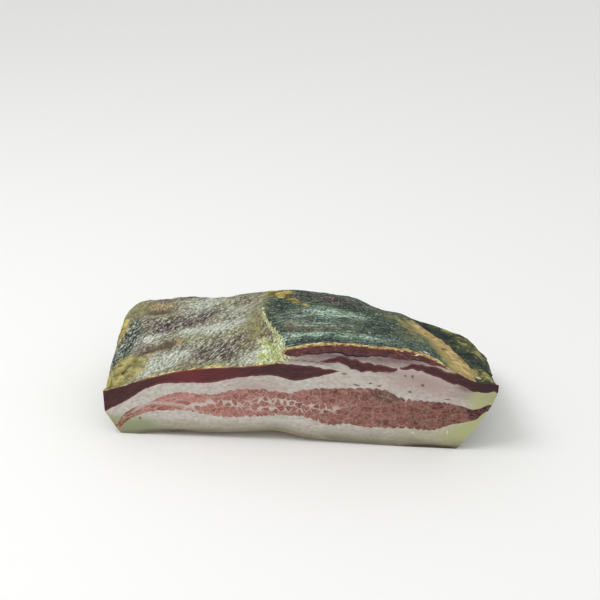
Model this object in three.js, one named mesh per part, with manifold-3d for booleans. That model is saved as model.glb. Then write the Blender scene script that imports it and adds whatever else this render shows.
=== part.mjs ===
// A slab of dry-cured pork belly, lying on its rind with the fresh cut face to the front.
//
// Frame: X along the cut face, Y away from it, Z up. The origin is under the middle of the slab,
// on the surface that the rind rests on. All sizes are in millimetres.
//
// The belly is built as the animal laid it down: layers of back fat and lean muscle that run from
// the cut face right through to the mould-covered back. Every layer is a sheet between two
// heights. A height is given along the cut face and is carried to the back by the slab's thickness
// there. Places in the slab are named by a column (its X at the cut face) and a depth t, which
// runs from -1 at the cut to 1 at the back.

import * as THREE from "three";
import { mergeVertices } from "three/addons/utils/BufferGeometryUtils.js";
import Module from "manifold-3d";

const wasm = await Module();
wasm.setup();

// Driving dimensions of the slab
const SLAB_LENGTH = 215;
const SLAB_DEPTH = 86;
const HALF_LENGTH = SLAB_LENGTH / 2;
const HALF_DEPTH = SLAB_DEPTH / 2;
const LAYER_GAP = 0.3; // clearance between neighbouring layers
const THIN_END = 0.5; // thickness left where a layer tapers out
const BED_OVERRUN = 6; // how far a muscle's bed is cut past the slab's surface

// Edges of the slab at the cut face
const LEFT_END = -102.5;
const RIGHT_END = HALF_LENGTH;
const LEFT_END_AT_BACK = -108.6; // before the corner's rounding brings it in to -HALF_LENGTH

// The lean flap starts at a seam and ends at a yellow fat ridge. Both run obliquely to the back.
const SEAM_FRONT = -4.5;
const SEAM_BACK = -21;
const SEAM_STRAIGHT_FROM = 0.25; // beyond this depth the seam runs straight back
const RIDGE_FRONT = 95.5;
const RIDGE_BACK = 50;
const RIDGE_BEND = 2.2; // above 1, the ridge leaves the cut at a right angle and bends away
const STEP_FOOT = -9; // where the fat starts to climb from the left panel to the flap
const STEP_HEAD = -3; // where it reaches the top of the flap
const RIDGE_DROP = 3; // fall from the ridge to the right end of the slab
const RIDGE_CREST = 1.4; // how far the fat band stands proud beside it
const RIDGE_FACE = 1.5; // half the width of the drop

// Undercut ends: how far the foot of each end stands in from its widest point
const RIGHT_UNDERCUT = 19.5;
const RIGHT_UNDERCUT_HEIGHT = 37;
const RIGHT_UNDERCUT_POWER = 1.35;
const LEFT_UNDERCUT = 8;
const LEFT_UNDERCUT_HEIGHT = 14;
const RIGHT_UNDERCUT_REACH = 48; // the slant fades out this far in from the end
const LEFT_UNDERCUT_REACH = 30;

// Rounding of the mould-covered edges, and of the rind's edge under the cut
const BACK_TOP_DROP = 10;
const BACK_TOP_FROM = 0.7; // share of the half depth where the top starts to roll over
const BACK_CORNER_RADIUS = 14;
const BACK_CORNER_FROM = 0.62;
const BACK_FOOT_DROP = 5; // how far the foot of the back stands in
const BACK_FOOT_HEIGHT = 12;
const WAVE_HEIGHT = 0.8;
const RIND_ROUNDING = 0.8;
const RIND_ROUNDING_HEIGHT = 4;
const END_EDGE_DROP = 3; // the worn upper edge of both ends
const END_EDGE_WIDTH = 5;
const TOP_CROWN = 1.2;

// Spacing of the facets
const COLUMN_STEP = 4.9;
const LEAST_COLUMN = 1.2; // no facet is narrower than this
const DEPTH_STATIONS = [-1, -0.86, -0.66, -0.42, -0.16, 0.12, 0.4, 0.64, 0.82, 0.94, 1];

// Outer surface along the cut face, as [x, z]: the bare left panel, and the flap with the right end
const leftPanel = along([
  [-103, 26.2], [-90, 30.6], [-77, 35.6], [-60, 40.6], [-45, 43], [-25, 45], [-6, 48.1],
]);
const rightPanel = along([
  [-6, 55.4], [2, 58], [20, 60.6], [45, 59.8], [60, 58.6], [72, 55], [84, 47.6], [95, 42],
  [107.5, 40.4],
]);
// Outer surface along the back, before its edge rolls over
const backTop = along([
  [-107, 38], [-97, 45.4], [-80, 47.6], [-55, 49], [-30, 52.8], [-10, 54.9], [10, 54],
  [28, 50.8], [40, 45.5], [55, 42.6], [70, 37.4], [85, 32.6], [97, 27], [107, 18],
]);
// The rind is arched between the two flat stretches that it rests on
const rindArch = along([
  [-88, 0], [-72, 2.2], [-40, 3.6], [-22, 5], [-11, 6.2], [-3, 5.2], [8, 2.8], [24, 1.6],
  [42, 0.9], [56, 0],
]);
const ARCH_KEPT_AT_BACK = 0.55;

// Borders of the layers on the cut face, as [x, z]
const streakyLow = border([
  [-95.5, 3.6], [-91.5, 7.6], [-84.5, 12.1], [-76.5, 15.1], [-57.5, 16.6], [-44.5, 14.2],
  [-25, 14.4], [-7.5, 16.1], [5.5, 16.1], [19.5, 11.9], [29.5, 13], [38.5, 11.4], [61.5, 12.1],
  [74.5, 11.3], [83.5, 15], [97.5, 19.4], [101.5, 24.3],
]);
const streakyHigh = border([
  [-96.5, 5.7], [-92.5, 11.7], [-85.5, 17.3], [-78.5, 20.2], [-67.5, 25.9], [-59.5, 27.8],
  [-41.5, 27.7], [-30.5, 31], [-13.5, 31.9], [-2.5, 30.4], [8.5, 33.2], [24.5, 34.5],
  [48.5, 34.7], [58.5, 29.9], [81.5, 28.4], [90.5, 26.4], [96, 25.2], [103.5, 28.6],
]);
const leftLeanLow = border([
  [-102.5, 13.8], [-88.5, 22.2], [-75, 31], [-60, 33.6], [-45, 34.2], [-30, 38], [-12, 40.4],
  [2, 38], [13, 40.8], [25.5, 44.6],
]);
const leftLeanHigh = border([[-9, 48], [-4.5, 47.6], [5.5, 47.4], [16.5, 45.9], [25.5, 44.8]]);
const innerLeanLow = border([
  [14.5, 50], [22, 49.7], [28, 47.9], [34, 45.4], [40, 45], [48, 45.6], [54.8, 46],
]);
const innerLeanHigh = border([
  [14.5, 50.4], [19.5, 52.6], [27, 52.9], [34.5, 51.6], [40, 50], [46.5, 49.9], [51.5, 49], [54.8, 47.4],
]);
const rightLeanLow = border([
  [56, 47.6], [69, 46.1], [73.5, 43.8], [80.5, 41.9], [87.5, 38.6], [96.5, 35.6], [107.5, 36],
]);
const rightLeanHigh = border([
  [56, 48.4], [60.5, 49.8], [66.5, 50.3], [73.5, 49.3], [80.5, 47.6], [87.5, 45.7], [94, 42.6],
]);
const flapLow = border([
  [-5.5, 54.4], [-0.5, 52.4], [7.5, 53.6], [23.5, 55.2], [30.5, 53.8], [47.5, 54],
  [64.5, 52.4], [73.5, 50.6], [80.5, 49],
]);

// The four lean muscles over the streaky lean: their ends at the cut, their lower and upper
// borders, and where they lie bare, so that the slab's own surface is their upper side
const UPPER_MUSCLES = {
  left_lean: {
    from: LEFT_END,
    to: 25.5,
    low: leftLeanLow,
    high: leftLeanHigh,
    isBare: (column) => column <= STEP_FOOT,
  },
  inner_lean: {
    from: 14.5,
    to: 54.8,
    low: innerLeanLow,
    high: innerLeanHigh,
    isBare: () => false,
  },
  right_lean: {
    from: 56,
    to: RIGHT_END,
    low: rightLeanLow,
    high: rightLeanHigh,
    isBare: (column) => column >= RIDGE_FRONT - RIDGE_FACE,
  },
  flap_lean: {
    from: -5.5,
    to: 80.5,
    low: flapLow,
    high: rightPanel,
    isBare: () => true,
  },
};

// A smooth height along X: a cubic through the stations, level beyond the first and last
function along(stations) {
  const last = stations.length - 1;
  const slopes = stations.map((_, i) => {
    const [x0, z0] = stations[Math.max(i - 1, 0)];
    const [x1, z1] = stations[Math.min(i + 1, last)];
    return (z1 - z0) / (x1 - x0);
  });
  return (x) => {
    if (x <= stations[0][0]) return stations[0][1];
    if (x >= stations[last][0]) return stations[last][1];
    const i = stations.findIndex((s) => s[0] > x) - 1;
    const [x0, z0] = stations[i];
    const [x1, z1] = stations[i + 1];
    const run = x1 - x0;
    const u = (x - x0) / run;
    const blend = u * u * (3 - 2 * u);
    const lean0 = u * (1 - u) * (1 - u) * run * slopes[i];
    const lean1 = u * u * (u - 1) * run * slopes[i + 1];
    return z0 + (z1 - z0) * blend + lean0 + lean1;
  };
}

function smoothStep(from, to, value) {
  return THREE.MathUtils.smoothstep(value, from, to);
}

// A quarter-circle fall from 0 at `from` to 1 at `to`
function rollOver(from, to, value) {
  const c = THREE.MathUtils.clamp((value - from) / (to - from), 0, 1);
  return 1 - Math.sqrt(1 - c * c);
}

// How far the slanting ends move a column of meat sideways at height z
function slant(column, z) {
  const right = smoothStep(RIGHT_END - RIGHT_UNDERCUT_REACH, RIGHT_END, column);
  const left = 1 - smoothStep(LEFT_END, LEFT_END + LEFT_UNDERCUT_REACH, column);
  const below = (height) => Math.max(0, 1 - Math.max(z, 0) / height);
  return (
    left * LEFT_UNDERCUT * below(LEFT_UNDERCUT_HEIGHT) -
    right * RIGHT_UNDERCUT * below(RIGHT_UNDERCUT_HEIGHT) ** RIGHT_UNDERCUT_POWER
  );
}

// Turns points measured on the cut face into a border height for each slanting column
function border(points) {
  const stations = points.map(([x, z]) => {
    let column = x;
    for (let i = 0; i < 12; i += 1) column = x - slant(column, z);
    return [column, z];
  });
  return along(stations);
}

// Plan position of a column at depth t
function columnX(column, t) {
  const back = (t + 1) / 2;
  const corner = BACK_CORNER_RADIUS * rollOver(BACK_CORNER_FROM, 1, t);
  const seamShare = smoothStep(-1, SEAM_STRAIGHT_FROM, t);
  const ridgeShare = Math.max(back, 0) ** RIDGE_BEND;
  const anchors = [
    [LEFT_END, THREE.MathUtils.lerp(LEFT_END, LEFT_END_AT_BACK, back) + corner],
    [SEAM_FRONT, THREE.MathUtils.lerp(SEAM_FRONT, SEAM_BACK, seamShare)],
    [RIDGE_FRONT, THREE.MathUtils.lerp(RIDGE_FRONT, RIDGE_BACK, ridgeShare)],
    [RIGHT_END, RIGHT_END - corner],
  ];
  const span = column < SEAM_FRONT ? 0 : column < RIDGE_FRONT ? 1 : 2;
  const [from, to] = [anchors[span], anchors[span + 1]];
  return THREE.MathUtils.mapLinear(column, from[0], to[0], from[1], to[1]);
}

// Underside of the rind
function underside(column, t) {
  const kept = THREE.MathUtils.lerp(1, ARCH_KEPT_AT_BACK, (t + 1) / 2);
  return rindArch(columnX(column, t)) * kept;
}

// Height of the top without the step at the seam; the layers inside follow it
function innerTop(column) {
  const rise = smoothStep(-60, STEP_HEAD, column);
  const fromLeft = THREE.MathUtils.lerp(leftPanel(column), rightPanel(STEP_HEAD), rise);
  return column < STEP_HEAD ? fromLeft : rightPanel(column);
}

// Takes a height on the cut face to depth t
function towardsBack(height, column, t) {
  const back = THREE.MathUtils.clamp((t + 1) / 2, 0, 1);
  const crown = TOP_CROWN * (1 - t * t);
  const drop = BACK_TOP_DROP * rollOver(BACK_TOP_FROM, 1, t);
  return THREE.MathUtils.lerp(height, backTop(columnX(column, t)), back) + crown - drop;
}

function thinning(column, t) {
  return towardsBack(innerTop(column), column, t) / innerTop(column);
}

// Lumps and dents of the dried surface, each an oval with its long half-axis turned from X
const LUMPS = [
  { x: -92, y: -29, long: 12, short: 9, turn: 0.5, height: 2 }, // fat at the front left corner
  { x: -12, y: -36, long: 9, short: 6, turn: 0.3, height: 1.4 }, // crust at the seam's foot
  { x: -8, y: 26, long: 14, short: 4, turn: -0.3, height: 1.2 }, // fat bared behind the seam
  { x: -84, y: 23, long: 7, short: 5, turn: 0.4, height: -1.2 },
  { x: -76, y: -17, long: 11, short: 6, turn: 0.4, height: -1.2 },
  { x: -104, y: 8, long: 5, short: 20, turn: 0.1, height: 1 }, // crust along the left edge
  { x: 98, y: 10, long: 8, short: 18, turn: 0.2, height: 1.8 }, // swelling along the right edge
  { x: 101, y: -27, long: 6, short: 10, turn: 0, height: 1 },
];

function lumps(x, y) {
  const each = LUMPS.map(({ x: cx, y: cy, long, short, turn, height }) => {
    const lengthwise = (x - cx) * Math.cos(turn) + (y - cy) * Math.sin(turn);
    const across = (y - cy) * Math.cos(turn) - (x - cx) * Math.sin(turn);
    return height * Math.exp(-((lengthwise / long) ** 2) - (across / short) ** 2);
  });
  return each.reduce((sum, h) => sum + h, 0);
}

// Slow unevenness of a surface that dried as it hung, within WAVE_HEIGHT either way
function waves(a, b) {
  const broad = Math.sin(a / 11.3 + b / 21) * Math.cos(b / 14 + a / 27);
  const fine = Math.sin(a / 5.3 - b / 8);
  return WAVE_HEIGHT * (0.6 * broad + 0.4 * fine);
}

// The slab's top surface, with its step, ridge, worn ends, lumps and slow unevenness
function topSurface(column, t) {
  const step = smoothStep(STEP_FOOT, STEP_HEAD, column);
  const front = THREE.MathUtils.lerp(leftPanel(column), rightPanel(column), step);
  const x = columnX(column, t);
  const y = HALF_DEPTH * t;
  const behindCut = smoothStep(-1, -0.8, t);
  const pastRidge = column - RIDGE_FRONT;
  const ridge = RIDGE_DROP * smoothStep(-RIDGE_FACE, RIDGE_FACE, pastRidge) * (1 - t * t);
  const crest = RIDGE_CREST * Math.exp(-(((pastRidge + 6) / 4) ** 2)) * (1 - t * t);
  const fromEnd = Math.min(column - LEFT_END, RIGHT_END - column);
  const worn = END_EDGE_DROP * rollOver(END_EDGE_WIDTH, 0, fromEnd);
  const uneven = (waves(x, y) + lumps(x, y) - worn) * behindCut;
  return towardsBack(front, column, t) + crest + uneven - ridge;
}

// The point of the slab at a column, depth and height
function place(column, t, z) {
  const zAtCut = z / thinning(column, t);
  const x = columnX(column, t) + slant(column, zAtCut);
  const overRind = z - underside(column, t);
  const footShare = THREE.MathUtils.clamp(1 - overRind / BACK_FOOT_HEIGHT, 0, 1);
  const rindShare = THREE.MathUtils.clamp(1 - overRind / RIND_ROUNDING_HEIGHT, 0, 1);
  const foot = BACK_FOOT_DROP * footShare ** 2 * smoothStep(0.4, 1, t);
  const rind = RIND_ROUNDING * rindShare ** 2 * (1 - smoothStep(-1, -0.7, t));
  const uneven = (waves(x, 3 * z) - WAVE_HEIGHT) * smoothStep(0.5, 1, t);
  return new THREE.Vector3(x, HALF_DEPTH * t - foot + rind + uneven, z);
}

// Columns between two ends, the same for every layer so that their facets lie parallel
function columnsBetween(from, to) {
  const count = Math.round((RIGHT_END - LEFT_END) / COLUMN_STEP);
  const even = Array.from({ length: count + 1 }, (_, i) =>
    THREE.MathUtils.lerp(LEFT_END, RIGHT_END, i / count),
  );
  const creases = [
    LEFT_END + END_EDGE_WIDTH / 4,
    STEP_FOOT,
    SEAM_FRONT,
    STEP_HEAD,
    RIDGE_FRONT - RIDGE_FACE,
    RIDGE_FRONT + RIDGE_FACE,
    RIGHT_END - END_EDGE_WIDTH,
    RIGHT_END - END_EDGE_WIDTH / 4,
  ];
  const isClear = (column) => creases.every((c) => Math.abs(c - column) > LEAST_COLUMN);
  const all = [...even.filter(isClear), ...creases].sort((a, b) => a - b);
  const between = all.filter((c) => c > from + LEAST_COLUMN && c < to - LEAST_COLUMN);
  return [from, ...between, to];
}

// A closed sheet of meat between the heights low(column, t) and high(column, t)
function sheet({ columns, depths, low, high, rows = [0, 1] }) {
  const at = (i, j, k) => {
    const column = columns[i];
    const t = depths[j];
    const z = THREE.MathUtils.lerp(low(column, t), high(column, t), rows[k]);
    return place(column, t, z);
  };
  const nI = columns.length - 1;
  const nJ = depths.length - 1;
  const nK = rows.length - 1;
  const positions = [];
  const quad = (a, b, c, d) => {
    for (const p of [a, b, c, a, c, d]) positions.push(p.x, p.y, p.z);
  };
  for (let i = 0; i < nI; i += 1) {
    for (let j = 0; j < nJ; j += 1) {
      quad(at(i, j, nK), at(i + 1, j, nK), at(i + 1, j + 1, nK), at(i, j + 1, nK));
      quad(at(i, j, 0), at(i, j + 1, 0), at(i + 1, j + 1, 0), at(i + 1, j, 0));
    }
    for (let k = 0; k < nK; k += 1) {
      quad(at(i, 0, k), at(i + 1, 0, k), at(i + 1, 0, k + 1), at(i, 0, k + 1));
      quad(at(i, nJ, k), at(i, nJ, k + 1), at(i + 1, nJ, k + 1), at(i + 1, nJ, k));
    }
  }
  for (let j = 0; j < nJ; j += 1) {
    for (let k = 0; k < nK; k += 1) {
      quad(at(0, j, k), at(0, j, k + 1), at(0, j + 1, k + 1), at(0, j + 1, k));
      quad(at(nI, j, k), at(nI, j + 1, k), at(nI, j + 1, k + 1), at(nI, j, k + 1));
    }
  }
  const geometry = new THREE.BufferGeometry();
  geometry.setAttribute("position", new THREE.Float32BufferAttribute(positions, 3));
  return mergeVertices(geometry, 1e-4);
}

function toManifold(geometry) {
  return new wasm.Manifold(
    new wasm.Mesh({
      numProp: 3,
      vertProperties: geometry.attributes.position.array,
      triVerts: new Uint32Array(geometry.index.array),
    }),
  );
}

function fromManifold(solid) {
  const mesh = solid.getMesh();
  const geometry = new THREE.BufferGeometry();
  geometry.setAttribute("position", new THREE.BufferAttribute(mesh.vertProperties, 3));
  geometry.setIndex(new THREE.BufferAttribute(mesh.triVerts, 1));
  return geometry;
}

// A border of the cut face carried into the slab, moved up or down by a clearance
function buried(borderHeight, shift = 0) {
  return (column, t) => {
    const height = borderHeight(column) + shift - underside(column, -1);
    return underside(column, t) + height * thinning(column, t);
  };
}

// A muscle's upper side. Its bare part can be lifted clear of the slab's surface.
function upperSide({ high, isBare }, shift = 0, lift = 0) {
  const border = buried(high, shift);
  return (column, t) => {
    const surface = topSurface(column, t) + lift;
    return isBare(column) ? surface : Math.min(border(column, t), surface);
  };
}

const HALF_GAP = LAYER_GAP / 2;
const ALL_COLUMNS = columnsBetween(LEFT_END, RIGHT_END);

// Back fat with the rind under it, up to the streaky lean
function backFat() {
  return sheet({
    columns: ALL_COLUMNS,
    depths: DEPTH_STATIONS,
    low: underside,
    high: buried(streakyLow, -HALF_GAP),
    rows: [0, 0.12, 0.4, 1],
  });
}

// The streaky lean, a band of muscle bundles through the middle of the slab
function streakyLean() {
  return sheet({
    columns: ALL_COLUMNS,
    depths: DEPTH_STATIONS,
    low: buried(streakyLow, HALF_GAP),
    high: buried(streakyHigh, -HALF_GAP),
  });
}

function muscle(shape) {
  const low = buried(shape.low);
  const high = upperSide(shape);
  return sheet({
    columns: columnsBetween(shape.from, shape.to),
    depths: DEPTH_STATIONS,
    low,
    high: (column, t) => Math.max(high(column, t), low(column, t) + THIN_END),
  });
}

// The bed that a muscle lies in: the muscle and its clearance, run out past the slab's surface
function bedOf(shape) {
  const low = buried(shape.low, -LAYER_GAP);
  const high = upperSide(shape, LAYER_GAP, BED_OVERRUN);
  const leftRoom = shape.from === LEFT_END ? BED_OVERRUN : LAYER_GAP;
  const rightRoom = shape.to === RIGHT_END ? BED_OVERRUN : LAYER_GAP;
  const beyondT = 1 + BED_OVERRUN / HALF_DEPTH;
  const columns = columnsBetween(shape.from, shape.to);
  return sheet({
    columns: [shape.from - leftRoom, ...columns, shape.to + rightRoom],
    depths: [-beyondT, ...DEPTH_STATIONS, beyondT],
    low,
    high: (column, t) => Math.max(high(column, t), low(column, t) + THIN_END + 2 * LAYER_GAP),
  });
}

// The upper fat is all over the streaky lean that isn't muscle. It comes to the surface at the
// seam and at the ridge.
function upperFat() {
  const block = sheet({
    columns: ALL_COLUMNS,
    depths: DEPTH_STATIONS,
    low: buried(streakyHigh, HALF_GAP),
    high: topSurface,
  });
  const beds = Object.values(UPPER_MUSCLES).map((shape) => toManifold(bedOf(shape)));
  const fat = beds.reduce((left, bed) => left.subtract(bed), toManifold(block));
  const [largest] = fat.decompose().sort((a, b) => b.volume() - a.volume());
  return fromManifold(largest);
}

function named(name, geometry, colour, roughness) {
  const material = new THREE.MeshStandardMaterial({ color: colour, roughness, metalness: 0 });
  material.name = name;
  const mesh = new THREE.Mesh(geometry, material);
  mesh.name = name;
  return mesh;
}

const FAT_COLOUR = "#d8cfc4";
const STREAKY_COLOUR = "#a86a62";
const LEAN_COLOUR = "#5a2a2c";
const MOULD_COLOUR = "#4d5546";

const slab = new THREE.Group();
slab.name = "cured_pork_belly";
slab.add(named("back_fat", backFat(), FAT_COLOUR, 0.55));
slab.add(named("streaky_lean", streakyLean(), STREAKY_COLOUR, 0.5));
slab.add(named("upper_fat", upperFat(), FAT_COLOUR, 0.55));
for (const [name, shape] of Object.entries(UPPER_MUSCLES)) {
  const colour = name === "flap_lean" ? MOULD_COLOUR : LEAN_COLOUR;
  slab.add(named(name, muscle(shape), colour, 0.6));
}

export default slab;
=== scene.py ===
import math

import bpy
import numpy as np
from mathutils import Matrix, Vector


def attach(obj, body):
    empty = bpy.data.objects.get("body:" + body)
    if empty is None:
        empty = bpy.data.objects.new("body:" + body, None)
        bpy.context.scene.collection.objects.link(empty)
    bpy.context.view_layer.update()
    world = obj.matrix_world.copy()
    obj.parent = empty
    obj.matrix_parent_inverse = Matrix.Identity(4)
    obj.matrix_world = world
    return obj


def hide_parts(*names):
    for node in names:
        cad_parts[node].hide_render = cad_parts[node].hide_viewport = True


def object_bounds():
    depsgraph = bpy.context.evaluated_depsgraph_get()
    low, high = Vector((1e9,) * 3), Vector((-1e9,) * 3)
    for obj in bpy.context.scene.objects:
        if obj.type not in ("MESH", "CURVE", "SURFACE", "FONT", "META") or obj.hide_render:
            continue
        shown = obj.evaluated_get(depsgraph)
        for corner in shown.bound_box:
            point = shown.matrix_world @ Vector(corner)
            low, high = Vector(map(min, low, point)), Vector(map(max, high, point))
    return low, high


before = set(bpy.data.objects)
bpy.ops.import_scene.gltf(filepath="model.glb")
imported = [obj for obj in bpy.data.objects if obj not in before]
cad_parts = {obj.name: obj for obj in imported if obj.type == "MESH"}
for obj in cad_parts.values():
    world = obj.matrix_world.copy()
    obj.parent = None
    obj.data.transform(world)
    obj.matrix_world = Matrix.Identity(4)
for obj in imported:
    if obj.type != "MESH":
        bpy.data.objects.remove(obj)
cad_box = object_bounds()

# Back fat on its rind, the layer the slab lies on: firm white fat, cut clean at the front by the
# knife, with the belly's skin left on below. The slab's form is laid out here, since every other
# layer is stacked on this one and was cut by the same stroke.
MM = 0.001
half_length = cad_box[1].x / MM
half_depth = -cad_box[0].y / MM
left_end, left_end_at_back = -102.5, -108.6
right_end = half_length
seam_front, seam_back, seam_straight_from = -4.5, -21, 0.25
ridge_front, ridge_back, ridge_bend = 95.5, 50, 2.2
step_foot, step_head = -9, -3
right_undercut, right_undercut_height, right_undercut_power = 19.5, 37, 1.35
left_undercut, left_undercut_height = 8, 14
right_undercut_reach, left_undercut_reach = 48, 30
back_top_drop, back_top_from = 10, 0.7
back_corner_radius, back_corner_from = 14, 0.62
back_foot_drop, back_foot_height = 5, 12
rind_rounding, rind_rounding_height = 0.8, 4
top_crown, wave_height = 1.2, 0.8
arch_kept_at_back = 0.55
loose_grain = np.random.default_rng(7).random((32, 32, 32))


def curve_through(stations):
    """A smooth height along the cut face, level beyond its first and last station."""
    xs, zs = np.array(stations, float).T
    ahead = np.append(np.arange(1, len(xs)), len(xs) - 1)
    behind = np.insert(np.arange(len(xs) - 1), 0, 0)
    slopes = (zs[ahead] - zs[behind]) / (xs[ahead] - xs[behind])

    def height(x):
        x = np.clip(x, xs[0], xs[-1])
        i = np.clip(np.searchsorted(xs, x, side="right") - 1, 0, len(xs) - 2)
        run = xs[i + 1] - xs[i]
        u = (x - xs[i]) / run
        lean = u * (1 - u) ** 2 * run * slopes[i] + u * u * (u - 1) * run * slopes[i + 1]
        return zs[i] + (zs[i + 1] - zs[i]) * u * u * (3 - 2 * u) + lean

    return height


def ease(start, end, value):
    """0 before start, 1 after end, and smooth between them."""
    u = np.clip((value - start) / (end - start), 0, 1)
    return u * u * (3 - 2 * u)


def roll_over(start, end, value):
    """The fall of a quarter circle, from 0 at start to 1 at end."""
    u = np.clip((value - start) / (end - start), 0, 1)
    return 1 - np.sqrt(1 - u * u)


def grain(x, y, z, size):
    """Soft random lumps about that many mm across, from 0 to 1, the same on every run."""
    p = np.stack(np.broadcast_arrays(x, y, z), -1) / size
    i = np.floor(p).astype(int)
    u = p - i
    u = u * u * (3 - 2 * u)
    total = 0
    for corner in np.ndindex(2, 2, 2):
        share = np.prod(np.where(corner, u, 1 - u), axis=-1)
        a, b, c = np.moveaxis((i + corner) % len(loose_grain), -1, 0)
        total += share * loose_grain[a, b, c]
    return total


def slant(column, z):
    """How far the slanting ends move a column of meat sideways at height z."""
    right = ease(right_end - right_undercut_reach, right_end, column)
    left = 1 - ease(left_end, left_end + left_undercut_reach, column)
    over = np.maximum(z, 0)
    right_in = right_undercut * np.maximum(1 - over / right_undercut_height, 0) ** right_undercut_power
    return left * left_undercut * np.maximum(1 - over / left_undercut_height, 0) - right * right_in


def border_on_cut(points, torn=0.5, lobes=0.0):
    """A layer's border from points on the cut face, finely torn and swelling in round lobes."""
    stations = []
    for x, z in points:
        column = x
        for _ in range(12):
            column = x - slant(column, z)
        stations.append((column, z))
    smooth = curve_through(stations)
    seed = points[0][1]

    def height(column):
        teeth = grain(column, seed, 5, 2.4) + 0.6 * grain(column, seed, 9, 1.3) - 0.8
        swell = np.sqrt(np.abs(np.sin(0.82 * column + 1.8 * np.sin(column / 11 + seed)))) - 0.75
        uneven = (0.2 + 1.6 * grain(column, seed, 2, 9)) * ease(-96, -40, column) * ease(97, 86, column)
        return smooth(column) + 2 * torn * teeth + lobes * uneven * swell

    return height


left_panel = curve_through([
    (-103, 26.2), (-90, 30.6), (-77, 35.6), (-60, 40.6), (-45, 43), (-25, 45), (-6, 48.1),
])
right_panel = curve_through([
    (-6, 55.4), (2, 58), (20, 60.6), (45, 59.8), (60, 58.6), (72, 55), (84, 47.6), (95, 42),
    (107.5, 40.4),
])
back_top = curve_through([
    (-107, 38), (-97, 45.4), (-80, 47.6), (-55, 49), (-30, 52.8), (-10, 54.9), (10, 54),
    (28, 50.8), (40, 45.5), (55, 42.6), (70, 37.4), (85, 32.6), (97, 27), (107, 18),
])
rind_arch = curve_through([
    (-88, 0), (-72, 2.2), (-40, 3.6), (-22, 5), (-11, 6.2), (-3, 5.2), (8, 2.8), (24, 1.6),
    (42, 0.9), (56, 0),
])
streaky_low = border_on_cut([
    (-95.5, 3.6), (-91.5, 7.6), (-84.5, 12.1), (-76.5, 15.1), (-57.5, 16.6), (-44.5, 14.2),
    (-25, 14.4), (-7.5, 16.1), (5.5, 16.1), (19.5, 11.9), (29.5, 13), (38.5, 11.4), (61.5, 12.1),
    (74.5, 11.3), (83.5, 15), (97.5, 19.4), (101.5, 24.3),
], torn=0.3, lobes=-1.3)


def seam_line(back):
    """X of the seam between the left panel and the flap, at that share of the way to the back."""
    return seam_front + (seam_back - seam_front) * ease(-1, seam_straight_from, 2 * back - 1)


def ridge_line(back):
    """X of the foot of the ridge on the right, at that share of the way to the back."""
    return ridge_front + (ridge_back - ridge_front) * np.maximum(back, 0) ** ridge_bend


def column_x(column, t):
    """Plan position of a column at depth t, from -1 at the cut to 1 at the back."""
    back = (t + 1) / 2
    corner = back_corner_radius * roll_over(back_corner_from, 1, t)
    left = left_end + (left_end_at_back - left_end) * back + corner
    seam, ridge = seam_line(back), ridge_line(back)
    right = right_end - corner
    on_left = left + (seam - left) * (column - left_end) / (seam_front - left_end)
    on_flap = seam + (ridge - seam) * (column - seam_front) / (ridge_front - seam_front)
    on_right = ridge + (right - ridge) * (column - ridge_front) / (right_end - ridge_front)
    return np.where(column < seam_front, on_left, np.where(column < ridge_front, on_flap, on_right))


def underside(column, t):
    """Height of the rind, which arches clear of the table near the middle."""
    kept = 1 + (arch_kept_at_back - 1) * (t + 1) / 2
    return rind_arch(column_x(column, t)) * kept


def inner_top(column):
    """Height of the top without the step at the seam, which the layers inside follow."""
    flap_edge = right_panel(step_head)
    rising = left_panel(column) + (flap_edge - left_panel(column)) * ease(-60, step_head, column)
    return np.where(column < step_head, rising, right_panel(column))


def towards_back(height, x, t):
    """Takes a height of the top at the cut face to depth t."""
    back = np.clip((t + 1) / 2, 0, 1)
    drop = back_top_drop * roll_over(back_top_from, 1, t)
    return height + (back_top(x) - height) * back + top_crown * (1 - t * t) - drop


def thinning(column, t):
    """How much lower the slab is at depth t than at the cut."""
    return towards_back(inner_top(column), column_x(column, t), t) / inner_top(column)


def waves(a, b):
    """Slow unevenness of meat that dried as it hung."""
    broad = np.sin(a / 11.3 + b / 21) * np.cos(b / 14 + a / 27)
    return wave_height * (0.6 * broad + 0.4 * np.sin(a / 5.3 - b / 8))


def crust(x, y, z):
    """Crumbly relief of a dried surface, in mm either way."""
    return 0.9 * (grain(x, y, z, 4.2) - 0.5) + 0.6 * (grain(x + 50, y, z, 1.9) - 0.5)


def place(column, t, z):
    """X, y and z of the slab at a column, depth and height."""
    x = column_x(column, t) + slant(column, z / thinning(column, t))
    over_rind = z - underside(column, t)
    foot = back_foot_drop * np.clip(1 - over_rind / back_foot_height, 0, 1) ** 2 * ease(0.4, 1, t)
    rind = rind_rounding * np.clip(1 - over_rind / rind_rounding_height, 0, 1) ** 2
    uneven = (waves(x, 3 * z) - wave_height + crust(x, 0, z)) * ease(0.5, 1, t)
    knife = 0.25 * (grain(x / 3, 9, z, 4) - 0.5) * (1 - ease(-1, -0.9, t))
    y = half_depth * t - foot + rind * (1 - ease(-1, -0.7, t)) + uneven + knife
    at_end = ease(4, 0, np.minimum(column - left_end, right_end - column)) * ease(-1, -0.9, t)
    outward = np.where(column < 0, -1, 1)
    return x + outward * at_end * (crust(9, y, z) - 0.4), y, z


def buried(border):
    """Height of a layer's border, carried into the slab from the cut face."""

    def height(column, t):
        from_rind = border(column) - underside(column, -1)
        return underside(column, t) + from_rind * thinning(column, t)

    return height


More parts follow.
